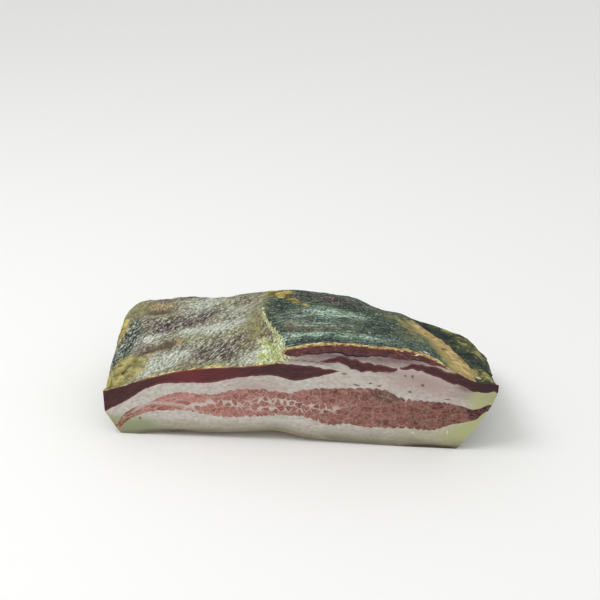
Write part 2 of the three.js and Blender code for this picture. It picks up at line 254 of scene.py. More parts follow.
facet = 0.95
creases = [step_foot, step_foot + 0.05, seam_front, step_head, ridge_front - 1.55, ridge_front - 1.5,
           ridge_front + 1.5]
even_columns = np.linspace(left_end, right_end, round((right_end - left_end) / facet))
clear_of_creases = np.abs(even_columns[:, None] - creases).min(1) > facet / 2
all_columns = np.sort(np.append(even_columns[clear_of_creases], creases))
depths = np.concatenate([
    [-1, -0.985],
    np.linspace(-0.965, back_top_from, round(0.83 * 2 * half_depth / facet)),
    1 - (1 - back_top_from) * (1 - np.sin(np.linspace(0, math.pi / 2, 17)[1:])),
])
CUT, OUTSIDE, BURIED, RIND = 0, 1, 2, 3


def layer_mesh(name, columns, depths, low, high, rows, top=BURIED, bottom=BURIED):
    """A closed sheet of meat between two heights, each face marked as cut, outside or buried."""
    shape = (len(columns), len(depths), rows)
    ids = np.arange(np.prod(shape)).reshape(shape)
    sides = [
        (ids[:, :, -1], top), (ids[:, ::-1, 0], bottom),
        (ids[:, 0, :], CUT), (ids[::-1, -1, :], OUTSIDE),
        (ids[0, ::-1, :], OUTSIDE), (ids[-1, :, :], OUTSIDE),
    ]
    faces, kinds = [], []
    for side, kind in sides:
        quads = np.stack([side[:-1, :-1], side[1:, :-1], side[1:, 1:], side[:-1, 1:]], -1)
        faces.append(quads.reshape(-1, 4))
        kinds.append(np.full(len(faces[-1]), kind))
    used, quads = np.unique(np.concatenate(faces), return_inverse=True)
    i, j, k = np.unravel_index(used, shape)
    column, t = columns[i], depths[j]
    bottom_z, top_z = low(column, t), high(column, t)
    up = np.linspace(0, 1, rows)[k]
    corners = np.stack(place(column, t, bottom_z + (top_z - bottom_z) * up), -1)
    mesh = bpy.data.meshes.new(name)
    mesh.from_pydata((corners * MM).tolist(), [], quads.reshape(-1, 4).tolist())
    mesh.polygons.foreach_set("material_index", np.concatenate(kinds).astype(np.int32))
    return mesh


def corners_of(mesh):
    """X, y and z of the mesh's corners, in mm."""
    flat = np.empty(len(mesh.vertices) * 3, np.float32)
    mesh.vertices.foreach_get("co", flat)
    return flat.reshape(-1, 3).astype(float).T / MM


def note(mesh, **noted):
    """Notes numbers, or places in mm, at each corner of the mesh, for its materials to read."""
    for name, values in noted.items():
        values = np.asarray(values, np.float32)
        kind, key = ("FLOAT", "value") if values.ndim == 1 else ("FLOAT_VECTOR", "vector")
        mesh.attributes.new(name, kind, "POINT").data.foreach_set(key, values.T.ravel())


def oval(x, y, centre, long, short, turn=0.0):
    """1 in the middle of a soft oval, falling to 0 well outside it."""
    dx, dy = x - centre[0], y - centre[1]
    lengthwise = dx * math.cos(turn) + dy * math.sin(turn)
    across = dy * math.cos(turn) - dx * math.sin(turn)
    return np.exp(-((lengthwise / long) ** 2) - (across / short) ** 2)


def add(tree, kind, inputs=None, **settings):
    """Adds a shader node with its settings. An input may be a number, a hex colour, another node
    for its first output, or the name of something noted on the mesh."""
    made = tree.nodes.new("ShaderNode" + kind)
    for key, value in settings.items():
        setattr(made, key, value)
    for key, value in (inputs or {}).items():
        if isinstance(value, str) and value.startswith("#"):
            value = colour(value)
        elif isinstance(value, str):
            noted = add(tree, "Attribute", attribute_name=value)
            value = noted.outputs["Vector" if key == "Vector" else "Fac"]
        elif isinstance(value, bpy.types.Node):
            value = value.outputs[0]
        if isinstance(value, bpy.types.NodeSocket):
            tree.links.new(value, made.inputs[key])
        else:
            made.inputs[key].default_value = value
    return made


def colour(code):
    """A linear colour from an sRGB hex code."""
    parts = [int(code[i:i + 2], 16) / 255 for i in (1, 3, 5)]
    return tuple(p / 12.92 if p <= 0.04045 else ((p + 0.055) / 1.055) ** 2.4 for p in parts) + (1.0,)


def stuff(name, shader):
    """Starts a material: its shader, and the object's own space in metres, where patterns lie."""
    material = bpy.data.materials.new(name)
    material.use_nodes = True
    tree = material.node_tree
    tree.nodes.clear()
    surface = add(tree, "BsdfPrincipled", shader)
    add(tree, "OutputMaterial", {"Surface": surface})
    return material, tree, surface, add(tree, "TexCoord").outputs["Object"]


def flecks(tree, at, lengths, turn=0.0, detail=3.0, seed=0.0):
    """Random flecks of those lengths in mm along x, y and z, turned about z."""
    laid = add(tree, "Mapping", {
        "Vector": at, "Location": (seed, seed, seed), "Rotation": (0, 0, turn),
        "Scale": tuple(length * MM for length in lengths),
    }, vector_type="TEXTURE")
    return add(tree, "TexNoise", {"Vector": laid, "Scale": 1.0, "Detail": detail, "Roughness": 0.6})


def two_tone(tree, by, low, high, dark, light):
    """Goes from a dark to a light tone as the flecks rise from low to high."""
    share = add(tree, "MapRange", {"Value": by, "From Min": low, "From Max": high})
    return add(tree, "MixRGB", {"Fac": share, "Color1": dark, "Color2": light})


def dusted(tree, shade, by, low, high, tone, most=1.0):
    """Dusts the shade with a tone, from none where the flecks are at low to the most at high."""
    share = add(tree, "MapRange", {"Value": by, "From Min": low, "From Max": high, "To Max": most})
    return add(tree, "MixRGB", {"Fac": share, "Color1": shade, "Color2": tone})


def unevenly(tree, patch, by, low, high, least, most=1.0):
    """How strongly a patch shows, from least to most of it as the flecks rise from low to high."""
    thick = add(tree, "MapRange", {
        "Value": by, "From Min": low, "From Max": high, "To Min": least, "To Max": most,
    })
    return add(tree, "Math", {0: patch, 1: thick}, operation="MULTIPLY", use_clamp=True)


def surfaced(tree, surface, shade, relief, strength, deep):
    """Gives a shader its tones, and a fine relief that many mm deep."""
    ripples = add(tree, "Bump", {"Height": relief, "Strength": strength, "Distance": deep * MM})
    tree.links.new(shade.outputs[0], surface.inputs["Base Color"])
    tree.links.new(ripples.outputs[0], surface.inputs["Normal"])


# Cured fat, cut with a long knife: dense and waxy, so it is matt with a soft shine, and shows the
# faint layers it was laid down in. Age turns it green and yellow at the slab's ends, the salted
# lean tints it pink, and the knife drags a few crumbs of crust and salt over it in short dashes.
crumbs_on_fat = {
    "#4b3531": [
        (-83.2, 10.6, 0.5, 1.1, 0.1), (33.4, 36.9, 1.5, 0.5, 0.3), (41.1, 38.3, 1.1, 0.6, -0.4),
        (46, 36.9, 1.3, 0.5, -0.1), (59.1, 43.6, 0.9, 0.7, 0), (62.8, 43.4, 0.7, 0.9, 0),
        (68.4, 38.4, 1.0, 1.0, 0.5), (62, 34.1, 1.0, 0.6, 0.4), (81.5, 30.6, 1.6, 0.3, 0),
        (42.7, 13.3, 1.0, 0.6, 0.2), (64, 12.7, 1.3, 0.8, 0.4),
    ],
    "#9c6a2e": [(27.5, 43.2, 1.9, 0.8, 0.1)],
    "#dedcc4": [(64.5, 9.3, 1.0, 0.6, 0.6), (82.7, 10.2, 0.4, 1.6, 0)],
}
cut_fat, tree, surface, here = stuff("cured_fat_cut", {
    "Roughness": 0.42, "IOR": 1.46, "Specular IOR Level": 0.3,
})
layers = flecks(tree, "along_layer", (8, 9, 0.9), detail=4)
clouds = flecks(tree, "along_layer", (15, 15, 4), detail=4, seed=3)
mottled = flecks(tree, here, (2.4, 2.4, 2.0), detail=2, seed=6)
shade = two_tone(tree, layers, 0.36, 0.62, "#aea399", "#cac2b9")
shade = dusted(tree, shade, clouds, 0.42, 0.58, "#bcbbb0", 0.75)
shade = two_tone(tree, mottled, 0.5, 0.1, shade, "#9c8e85")
shade = two_tone(tree, mottled, 0.52, 0.95, shade, "#d6d1c8")
# The low stain also holds painted shade: it darkens the fat towards its bottom edge.
stains = {
    "flap_stain": "#61464a", "pink_stain": "#a8908a", "green_stain": "#8f9873",
    "yellow_stain": "#abae7e", "low_stain": "#86826d", "rind_stain": "#4e3d32",
    "gold_stain": "#a5854b", "thin_vein": "#6a4648",
}
# The stain along the rind also holds a painted shadow line along the bottom edge at the right.
for stain, tone in stains.items():
    share = unevenly(tree, stain, clouds, 0.3, 0.7, 0.7, 1.2)
    shade = two_tone(tree, share, 0, 1, shade, tone)
crumbly = flecks(tree, here, (1.2, 1.2, 1.2), seed=9)
for stain, dark, light in [("lime_stain", "#76713a", "#dcdcb2"), ("ridge_stain", "#8b6d4c", "#c2a582")]:
    coat = two_tone(tree, crumbly, 0.4, 0.6, dark, light)
    shade = two_tone(tree, stain, 0.15, 0.9, shade, coat)
for tone, crumbs in crumbs_on_fat.items():
    for x, z, long, high, tilt in crumbs:
        laid = add(tree, "Mapping", {
            "Vector": here, "Location": (x * MM, -half_depth * MM, z * MM), "Rotation": (0, tilt, 0),
            "Scale": (long * MM, 1, high * MM),
        }, vector_type="TEXTURE")
        gap = add(tree, "VectorMath", {0: laid}, operation="LENGTH").outputs["Value"]
        frayed = add(tree, "Math", {0: mottled, 1: 1.6, 2: gap}, operation="MULTIPLY_ADD")
        shade = dusted(tree, shade, frayed, 2.1, 1.1, tone, 0.95)
dull = add(tree, "MapRange", {
    "Value": clouds, "From Min": 0.35, "From Max": 0.65, "To Min": 0.36, "To Max": 0.52,
})
tree.links.new(dull.outputs[0], surface.inputs["Roughness"])
surfaced(tree, surface, shade, layers, 0.25, 0.3)

# Rind is the pig's own skin, scraped, salted and dried hard. It is a yellow-brown sheet, a little
# shiny on its high spots, with a pore every two millimetres or so and blotches of grease.
rind, tree, surface, here = stuff("dried_rind", {"Roughness": 0.5, "IOR": 1.5})
blotches = flecks(tree, here, (14, 14, 14), detail=4, seed=1)
creased = flecks(tree, here, (9, 2, 3), seed=2)
pores = add(tree, "TexVoronoi", {"Vector": here, "Scale": 1 / (2.1 * MM)})
shade = two_tone(tree, blotches, 0.4, 0.62, "#86693c", "#a8956a")
shade = two_tone(tree, creased, 0.3, 0.55, "#6b5230", shade)
shade = dusted(tree, shade, pores, 0.22, 0.08, "#46351f", 0.6)
height = add(tree, "Math", {0: pores, 1: creased}, operation="ADD")
surfaced(tree, surface, shade, height, 0.6, 0.5)


thin_vein = curve_through([(-10, 48.4), (-3, 49.6), (6, 50), (14, 49.2), (24, 46.4)])


def stain_fat(mesh, border):
    """Notes the fat's layering, where age and its neighbours stained it, and its painted shade by the
    rind.
    """
    x, y, z = corners_of(mesh)
    over_rind = z - rind_arch(x)
    in_from_left = x - left_end - slant(left_end, z)
    off_vein = (z - thin_vein(x)) / 0.45
    note(
        mesh,
        along_layer=np.stack([x, y, z - border(x)]) * MM,
        flap_stain=0.95 * oval(x, z, (52, 52.5), 28, 3.5, -0.05)
        + 0.75 * oval(x, z, (12, 52.5), 18, 4) + 0.45 * oval(x, z, (92, 35), 14, 6, -0.2)
        + 0.9 * oval(x, z, (91, 37), 6, 1.2, -0.35) + 0.6 * oval(x, z, (50, 45), 5, 1, 0),
        pink_stain=0.9 * oval(x, z, (68, 40), 24, 7, -0.2)
        + 0.6 * oval(x, z, (-20, 33), 16, 5) + 0.4 * oval(x, z, (-60, 8), 40, 3),
        green_stain=0.85 * (ease(-66, -88, x) * ease(15, 7, z))
        + 0.3 * ease(-30, -70, x) * ease(14, 6, z),
        yellow_stain=ease(70, 92, x) * ease(24, 12, z) + 1.1 * ease(88, 100, x)
        + 0.4 * ease(40, 70, x) * ease(16, 6, z),
        # Low on the fat: darker towards the bottom edge as painted shade where it rounds under, and
        # olive stains in two places.
        low_stain=0.8 * ease(9, 0.5, over_rind) + 0.45 * oval(x, z, (52, 4), 36, 7)
        + 0.3 * oval(x, z, (104, 34), 6, 7),
        # Along the rind the fat is painted dark brown: the rind's own edge, and painted shade where it
        # is strongest, at the right end.
        rind_stain=ease(3.2, 0.8, over_rind) * (
            0.25 + 0.7 * oval(x, z, (-66, 2), 15, 9) + 1.8 * oval(x, z, (74, 1), 12, 6)),
        gold_stain=0.9 * ease(1.5, 0.3, over_rind) * oval(x, z, (4, 4), 15, 20)
        + 0.45 * ease(3, 0.5, in_from_left) * ease(16, 12, z),
        ridge_stain=0.9 * oval(x, z, (87, 46), 9, 4, -0.5),
        lime_stain=1.3 * oval(x, z, (-5.5, 50.5), 6, 2.6, 0.5) * ease(45, 47, z),
        thin_vein=0.85 * np.exp(-off_vein ** 2) * ease(-10, -6, x) * ease(26, 16, x),
    )


sharp_edge = math.radians(55)


def finished(name, mesh, materials, node, slot_name):
    """Shades a layer smooth up to its edges and puts it in place of its solid."""
    for material in materials:
        mesh.materials.append(material)
    mesh.shade_smooth()
    mesh.set_sharp_from_angle(angle=sharp_edge)
    piece = bpy.data.objects.new(name, mesh)
    bpy.context.collection.objects.link(piece)
    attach(piece, "root")
    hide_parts(node)
    return piece


back_fat_mesh = layer_mesh("back_fat_on_rind", all_columns, depths, underside, buried(streaky_low),
                           rows=16, bottom=RIND)
stain_fat(back_fat_mesh, streaky_low)
finished("back_fat_on_rind", back_fat_mesh, [cut_fat, None, cut_fat, rind], "back_fat", "fat")

# Streaky lean: hundreds of muscle bundles 3 to 4 mm across, each in a thin pale skin. Cut across,
# they crowd into a crazed dusty pink band, which a branching vein of fat runs through, and which
# thins out at the left end to strips of long bundles.
streaky_high = border_on_cut([
    (-96.5, 5.7), (-92.5, 11.7), (-85.5, 17.3), (-78.5, 20.2), (-67.5, 25.9), (-59.5, 27.8),
    (-41.5, 27.7), (-30.5, 31), (-13.5, 31.9), (-2.5, 30.4), (8.5, 33.2), (24.5, 34.5),
    (48.5, 34.7), (58.5, 29.9), (81.5, 28.4), (90.5, 26.4), (96, 25.2), (103.5, 28.6),
], torn=0.3, lobes=1.2)
bundle_width, bundle_height, swaying = 4.0, 3.3, 2.8
long_bundles_from, long_bundle_stretch = -58, 0.45
upper_vein = curve_through([
    (-58, 18.8), (-44, 22), (-28, 22.5), (-16, 25), (-4, 24.6), (12, 22.4), (23, 21.5), (31, 25.5),
    (40, 29),
])
lower_vein = curve_through([(-30, 19.5), (-11, 20.2), (4, 20), (20, 19.5)])
left_split = curve_through([(-92, 9.5), (-84, 16.5), (-76, 20.4), (-67, 20.4), (-58, 19.4), (-52, 17)])


def lay_bundles(mesh):
    """Notes places across the band, its height, and where its veins and odd bundles are."""
    x, y, z = corners_of(mesh)
    low, high = streaky_low(x), streaky_high(x)
    along_band = np.where(x > long_bundles_from, x,
                          long_bundles_from + (x - long_bundles_from) * long_bundle_stretch)
    along_band = along_band - 0.25 * np.maximum(x - 20, 0)
    thicker_ones = 1 - 0.25 * ease(0, 40, x)
    upper = np.exp(-(((z - upper_vein(x)) / 1.9) ** 2)) * ease(-64, -54, x) * ease(34, 16, x)
    lower = np.exp(-(((z - lower_vein(x)) / 1.3) ** 2)) * ease(-34, -26, x) * ease(22, 12, x)
    split = np.exp(-(((z - left_split(x)) / 0.9) ** 2)) * ease(-90, -84, x) * ease(-50, -56, x)
    note(
        mesh,
        across_band=np.stack([along_band, (z - (low + high) / 2) * thicker_ones, y / 5]),
        band_height=(high - low) * thicker_ones,
        vein=np.maximum(upper, 0.8 * lower),
        split=split,
        grey_bundle=ease(0.3, 0.55, oval(x, z, (50, 30.5), 9.5, 3.6, -0.12)),
        dark_tip=ease(89, 93.5, x + 0.5 * (z - 24)),
        left_tip=ease(-78, -92, x),
    )


# Each bundle is a cell, made up of finer strands. Strands by the border drop out whole, so that
# the band's edge is scalloped, and the skins between bundles widen to fat along the veins.
cut_streaky, tree, surface, here = stuff("streaky_lean_cut", {
    "Roughness": 0.4, "IOR": 1.42, "Specular IOR Level": 0.25,
})
across = add(tree, "Attribute", attribute_name="across_band").outputs["Vector"]
sway = add(tree, "TexNoise", {"Vector": across, "Scale": 1 / 2.2, "Detail": 3.0}).outputs["Color"]
bent = add(tree, "VectorMath", {0: sway, 1: (swaying, swaying, 0), 2: across}, operation="MULTIPLY_ADD")
cells_at = add(tree, "VectorMath", {0: bent, 1: (1 / bundle_width, 1 / bundle_height, 0.3)},
               operation="MULTIPLY")
bundles = add(tree, "TexVoronoi", {"Vector": cells_at, "Scale": 1.0})
skins = add(tree, "TexVoronoi", {"Vector": cells_at, "Scale": 1.0}, feature="DISTANCE_TO_EDGE")
strands = add(tree, "TexVoronoi", {"Vector": cells_at, "Scale": 2.0})
strand_skins = add(tree, "TexVoronoi", {"Vector": cells_at, "Scale": 2.0}, feature="DISTANCE_TO_EDGE")
chance = add(tree, "SeparateColor", {"Color": bundles.outputs["Color"]})
strand_chance = add(tree, "SeparateColor", {"Color": strands.outputs["Color"]})
across_at = add(tree, "SeparateXYZ", {"Vector": across})
from_right = add(tree, "MapRange", {"Value": across_at, "From Min": -60, "From Max": 88})
fibres = flecks(tree, here, (1.1, 1, 1.0), seed=5)
calm = two_tone(tree, from_right, 0.3, 1.1, "#000000", "#ffffff")
calm_fibres = add(tree, "MixRGB", {"Fac": calm, "Color1": fibres, "Color2": (0.5, 0.5, 0.5, 1.0)})
patchy = add(tree, "TexNoise", {"Vector": across, "Scale": 1 / 6, "Detail": 2.0})
pale = two_tone(tree, from_right, 0, 1.1, "#bd867d", "#74493c")
deep = two_tone(tree, from_right, 0, 1.1, "#a0655e", "#58342c")
meat = two_tone(tree, chance, 0, 1, pale, deep)
for patch, tone in {"left_tip": "#84523c", "grey_bundle": "#6c5146", "dark_tip": "#4a1d21"}.items():
    meat = two_tone(tree, patch, 0, 1, meat, tone)
darker = add(tree, "MixRGB", {"Fac": 1.0, "Color1": meat, "Color2": "#c0b0a8"}, blend_type="MULTIPLY")
paler = add(tree, "MixRGB", {"Fac": 0.45, "Color1": meat, "Color2": "#c9aa9f"})
by_strand = unevenly(tree, strand_chance, from_right, 0, 1, 0.35, 0.12)
by_bundle = unevenly(tree, chance.outputs["Green"], from_right, 0.3, 1, 0, 0.7)
meat = two_tone(tree, by_bundle, 0, 1, meat, darker)
meat = two_tone(tree, by_strand, 0, 1, meat, darker)
clumps = flecks(tree, here, (5, 3, 3), detail=2, seed=16)
meat = two_tone(tree, clumps, 0.46, 0.36, meat, darker)
meat = two_tone(tree, calm_fibres, 0.5, 0.34, meat, darker)
meat = two_tone(tree, calm_fibres, 0.54, 0.7, meat, paler)
meat = dusted(tree, meat, strand_skins, 0.1, 0.01, paler, 0.4)
thickness = add(tree, "MapRange", {"Value": patchy, "From Min": 0.38, "From Max": 0.62, "To Max": 0.13})
widened = add(tree, "Math", {0: "vein", 1: thickness, 2: 0.012}, operation="MULTIPLY_ADD")
cornering = add(tree, "MapRange", {
    "Value": bundles.outputs["Distance"], "From Min": 0.45, "From Max": 0.9, "To Max": 0.1,
})
body = add(tree, "Math", {0: skins, 1: cornering}, operation="SUBTRACT")
body = add(tree, "Math", {0: body, 1: widened}, operation="SUBTRACT")
faded = two_tone(tree, from_right, 0.4, 0.9, "#ffffff", "#c8c8c8")
faded = two_tone(tree, "dark_tip", 0, 1, faded, "#404040")
grown_in = unevenly(tree, faded, fibres, 0.38, 0.62, 0.1, 0.9)
kept = add(tree, "Math", {0: "vein", 1: 1.2, 2: grown_in}, operation="MULTIPLY_ADD", use_clamp=True)
skin = unevenly(tree, kept, body, -0.05, 0.07, 1, 0)
half = add(tree, "Math", {0: "band_height", 1: 0.5}, operation="MULTIPLY")
big_cells = add(tree, "MapRange", {"Value": from_right, "From Min": 0.5, "From Max": 0.6})
cell_at = add(tree, "MixRGB", {
    "Fac": big_cells, "Color1": strands.outputs["Position"], "Color2": bundles.outputs["Position"],
})
cell_at = add(tree, "SeparateXYZ", {"Vector": cell_at})
off_middle = add(tree, "Math", {0: cell_at.outputs["Y"], 1: bundle_height, 2: -swaying / 2},
                 operation="MULTIPLY_ADD")
off_middle = add(tree, "Math", {0: off_middle}, operation="ABSOLUTE")
inside = add(tree, "Math", {0: half, 1: off_middle}, operation="SUBTRACT")
inside = add(tree, "Math", {0: big_cells, 1: 1.6, 2: inside}, operation="MULTIPLY_ADD")
margin = add(tree, "MapRange", {
    "Value": half, "From Min": 2, "From Max": 6, "To Min": -3, "To Max": -0.2,
})
outside = add(tree, "Math", {0: inside, 1: margin}, operation="LESS_THAN")
skin_tone = two_tone(tree, from_right, 0, 1, "#bfa198", "#9d8273")
skin_tone = two_tone(tree, "vein", 0.2, 0.7, skin_tone, "#c2b5ab")
shade = two_tone(tree, skin, 0, 1, meat, skin_tone)
split = unevenly(tree, "split", fibres, 0.35, 0.6, 0.5, 1.1)
shade = two_tone(tree, split, 0, 1, shade, "#c0b0a6")
shade = two_tone(tree, outside, 0, 1, shade, "#b9b1a8")
surfaced(tree, surface, shade, skins, 0.4, 0.4)

streaky_mesh = layer_mesh("streaky_lean_in_bundles", all_columns, depths, buried(streaky_low),
                          buried(streaky_high), rows=18)
lay_bundles(streaky_mesh)
finished("streaky_lean_in_bundles", streaky_mesh, [cut_streaky, None, cut_streaky],
         "streaky_lean", "streaky_lean")

# The four muscles above the streaky one: a long one that lies bare over the left panel, a short
# one buried in the fat, one that comes up at the right end, and the flap on top of them all. The
# dried top is worked out here: its lumps and dents, its standing fibres and its crusts.
thin_end = 0.15
ridge_drop, ridge_crest, ridge_face = 3, 1.4, 1.5
end_edge_drop, end_edge_width = 3, 5
left_fibre_turn = math.radians(61)
upper_muscles = {
    "left_lean": {
        "from": left_end, "to": 25.5, "torn": 0.4, "bare": lambda column: column <= step_foot,
        "low": [(-102.5, 13.8), (-88.5, 22.2), (-75, 31), (-60, 33.6), (-45, 34.2), (-30, 38),
                (-12, 40.4), (2, 38), (13, 40.8), (25.5, 44.6)],
        "high": [(-9, 48), (-4.5, 47.6), (5.5, 47.4), (16.5, 45.9), (25.5, 44.8)],
    },
    "inner_lean": {
        "from": 14.5, "to": 54.8, "torn": 0.8, "bare": lambda column: column > right_end,
        "low": [(14.5, 50), (22, 49.7), (28, 47.9), (34, 45.4), (40, 45), (48, 45.6), (54.8, 46)],
        "high": [(14.5, 50.4), (19.5, 52.6), (27, 52.9), (34.5, 51.6), (40, 50), (46.5, 49.9),
                 (51.5, 49), (54.8, 47.4)],
    },
    "right_lean": {
        "from": 56, "to": right_end, "torn": 0.8,
        "bare": lambda column: column >= ridge_front - ridge_face,
        "low": [(56, 47.6), (69, 46.1), (73.5, 43.8), (80.5, 41.9), (87.5, 38.6), (96.5, 35.6),
                (107.5, 36)],
        "high": [(56, 48.4), (60.5, 49.8), (66.5, 50.3), (73.5, 49.3), (80.5, 47.6), (87.5, 45.7),
                 (94, 42.6)],
    },
    "flap_lean": {
        "from": -5.5, "to": 80.5, "torn": 0.5, "bare": lambda column: column < right_end,
        "low": [(-5.5, 54.4), (-0.5, 52.4), (7.5, 53.6), (23.5, 55.2), (30.5, 53.8), (47.5, 54),
                (64.5, 52.4), (73.5, 50.6), (80.5, 49)],
        "high": [(-5.5, 56), (80.5, 56)],
    },
}
patches_on_top = {
    "yellow_fat": [((-92, -31), 12, 9, 0.45, 1.3), ((-99, -38), 8, 6, 0, 1)],
    "lime_mould": [
        ((-12, -37), 8, 7, 0.2, 1.4), ((-16, -25), 3.5, 8, 0.3, 0.9), ((-5, -41), 5, 3, 0, 0.9),
    ],
    "pale_mould": [
        ((-76, -33), 10, 6, 0.6, 1.7), ((-63, -29), 8, 5, 0.5, 1.2), ((-83, -8), 7, 4, 0.4, 1.2),
        ((-60, -6), 8, 3, 0.3, 1.4), ((-42, -3), 12, 5, 0.4, 1.6), ((-57, 24), 13, 8, 0.7, 1.2),
        ((-22, -36), 6, 6, 0.4, 1.6), ((-36, 14), 12, 8, 0.7, 0.7),
    ],
    "mint_mould": [
        ((17, -2), 13, 6, 0, 1.5), ((33, 2), 6, 4, 0.5, 0.7), ((10, -31), 13, 2.2, 0, 1.1),
        ((38, -31), 13, 4, 0, 0.75), ((-3, -33), 6, 4, 0.2, 0.6), ((12, -18), 16, 4, 0, 0.35),
        ((-4, -8), 6, 8, 0, 0.3),
    ],
    "wine_lean": [
        ((-73, 3), 14, 7, 0.9, 1.4), ((-57, 9), 12, 6, 0.6, 1.2), ((-46, -27), 16, 9, 0.1, 1.1),
        ((14, 21), 20, 7, -0.1, 1.6), ((-92, 27), 10, 5, -0.1, 0.5),
    ],
    "slate_mould_and_seam_shadow": [
        ((-62, 38), 34, 6, 0, 1.0), ((-97, -1), 6, 16, 0.1, 1.6), ((-103, -24), 6, 10, 0.2, 2.4),
        ((-12, 9), 8, 11, 0.3, 1.2), ((16, -38.5), 15, 2, 0, 0.9), ((47, -8), 18, 20, 0, 1.2),
        ((30, 12), 14, 5, 0, 0.8),
    ],
    "brown_dent": [
        ((-84, 19), 9, 3, -0.2, 1.6), ((-71.5, -17), 5, 3.5, 0.3, 1.7), ((-83, -20), 9, 2, 0.5, 1.5),
    ],
    "tan_rim": [
        ((-83, 25), 9, 2.6, -0.2, 1.6), ((-65.5, -15.5), 1.8, 5, 0.2, 1.5),
        ((-79, -21), 6, 2, 0.6, 1.0),
    ],
    "olive_crust": [
        ((-25, 2), 6, 26, 0.1, 1.2), ((60, 12), 8, 16, 0.8, 1), ((66, -12), 9, 14, 0.6, 0.7),
        ((64, 6), 6, 9, 0.6, 0.8), ((-99, 25), 7, 9, 0.2, 1.3), ((100, -30), 8, 8, 0, 2.2),
        ((99, 17), 6, 10, 0.5, 1.5), ((84, 34), 7, 5, 0, 0.9), ((-60, -40), 9, 4, 0.2, 0.5),
        ((-17, -18), 3, 6, 0, 0.6),
    ],
    "brown_crust": [((-2, -14), 14, 18, 0, 1.0), ((18, -21), 16, 4, 0, 1.1), ((42, 14), 14, 5, 0, 0.7)],
    "white_flakes": [
        ((70, -35.5), 2.4, 1.1, -0.9, 1.5), ((66.5, -40.5), 1.6, 0.8, 0.2, 1.1),
        ((97, -35), 3, 1, 0.3, 0.8),
    ],
    "gold_crust": [
        ((-15, 26), 8, 5, -0.5, 1.3), ((-3, 13), 9, 2, -0.75, 1.3), ((-104, 10), 4, 14, 0.05, 1.0),
        ((-42, -41.5), 5, 1.6, 0, 1.1),
    ],
}
pits_on_top = [
    ((80, -11), 1.7, 1.2, 0), ((72.7, -12.5), 1.1, 0.8, 0.5), ((71.5, 26.5), 1.6, 1.2, 0),
    ((78.9, 22.1), 1.6, 1.6, 0), ((75, 4), 0.8, 0.6, 0), ((86, -17), 5, 0.7, -1.0),
    ((91.5, -22), 7, 1.1, -1.2), ((-93, -32.5), 1.6, 1.2, 0.4), ((-95, -27), 1.2, 0.9, 0),
    ((-10, 19), 1.7, 1.1, -0.6), ((-16, 24), 1.2, 0.9, 0),
]


def dried_patches(x, y):
    """How strongly each mould, crust and bare patch lies at a place on the top."""
    strength = {
        name: sum(share * oval(x, y, centre, long, short, turn)
                  for centre, long, short, turn, share in ovals)
        for name, ovals in patches_on_top.items()
    }
    back = np.clip((y / half_depth + 1) / 2, 0, 1)
    from_seam, from_ridge = x - seam_line(back), x - ridge_line(back)
    strength["lime_mould"] *= ease(1.5, -0.5, from_seam)
    # A dark line just right of the seam is painted shadow of the step there, laid on with the slate
    # mould.
    shadow_by_seam = np.exp(-(((from_seam - 2) / 1.5) ** 2)) * ease(20, 0, y)
    strength["slate_mould_and_seam_shadow"] += 1.3 * shadow_by_seam
    crusted = 0.7 + 1.3 * ease(-14, -36, y)
    strength["seam_crust"] = 1.1 * np.exp(-(((from_seam + crusted) / crusted) ** 2)) * ease(16, 2, y)
    band = 14 + 4 * ease(-half_depth, -18, y) - 8 * ease(5, 38, y)
    on_band = 1.2 * ease(-band - 6, -band + 5, from_ridge) * ease(1, -1, from_ridge)
    strength["ridge_fat"] = on_band * ease(32, 10, y)
    strength["ridge_side"] = ease(-0.5 * band, -band, from_ridge)
    strength["right_crust"] = 1.2 * ease(-1, 1.5, from_ridge)
    strength["on_flap"] = ease(-3, 0.5, from_seam)
    rim = np.where(from_seam < 0, 0.3, 1.2)
    on_rim = 1.1 * ease(rim + 0.9, 0.1, y + half_depth)
    strength["rim_crust"] = on_rim * ease(82, 76, x) * ease(-88, -80, x)
    strength["pit"] = sum(oval(x, y, *pit) for pit in pits_on_top)
    return strength


def dried_relief(x, y):
    """Relief of the dried top in mm: lumps and dents, fibres that stand up, and crumbly crusts."""
    there = dried_patches(x, y)
    lumps = (
        2.0 * oval(x, y, (-92, -29), 12, 9, 0.5)
        + 1.4 * oval(x, y, (-12, -36), 9, 6, 0.3)
        + 1.2 * oval(x, y, (-8, 26), 14, 4, -0.3)
        - 1.2 * oval(x, y, (-84, 23), 7, 5, 0.4)
        - 1.2 * oval(x, y, (-76, -17), 11, 6, 0.4)
        + 1.0 * oval(x, y, (-104, 8), 5, 20, 0.1)
        + 1.8 * oval(x, y, (98, 10), 8, 18, 0.2)
        + 1.0 * oval(x, y, (101, -27), 6, 10)
    )
    lengthwise = x * math.cos(left_fibre_turn) + y * math.sin(left_fibre_turn)
    across = x * math.sin(left_fibre_turn) - y * math.cos(left_fibre_turn)
    on_left = grain(across, lengthwise / 4, 0, 1.7) - 0.5
    on_flap = grain(x / 5, y, 3, 1.8) - 0.5
    fibres = 0.8 * (on_left + (on_flap - on_left) * there["on_flap"])
    crumbs = grain(x, y, 7, 2.1) - 0.35
    nodules = there["yellow_fat"] * (3.2 * np.abs(grain(x, y, 2, 6.5) - 0.5) ** 0.6 - 1.2)
    nodules += (there["lime_mould"] + there["seam_crust"] + there["gold_crust"]) * 1.5 * crumbs
    crusty = there["right_crust"] * 1.3 + there["ridge_fat"] * 0.7 + there["rim_crust"]
    nodules += crusty * crumbs
    nodules += there["tan_rim"] * 0.7 - there["brown_dent"] * 0.8 - there["pit"] * 1.4
    worn_smooth = 1 - 0.6 * ease(0.3 * half_depth, 0.9 * half_depth, y)
    return waves(x, y) + lumps, worn_smooth * (crust(x, y, 0) + fibres + nodules)


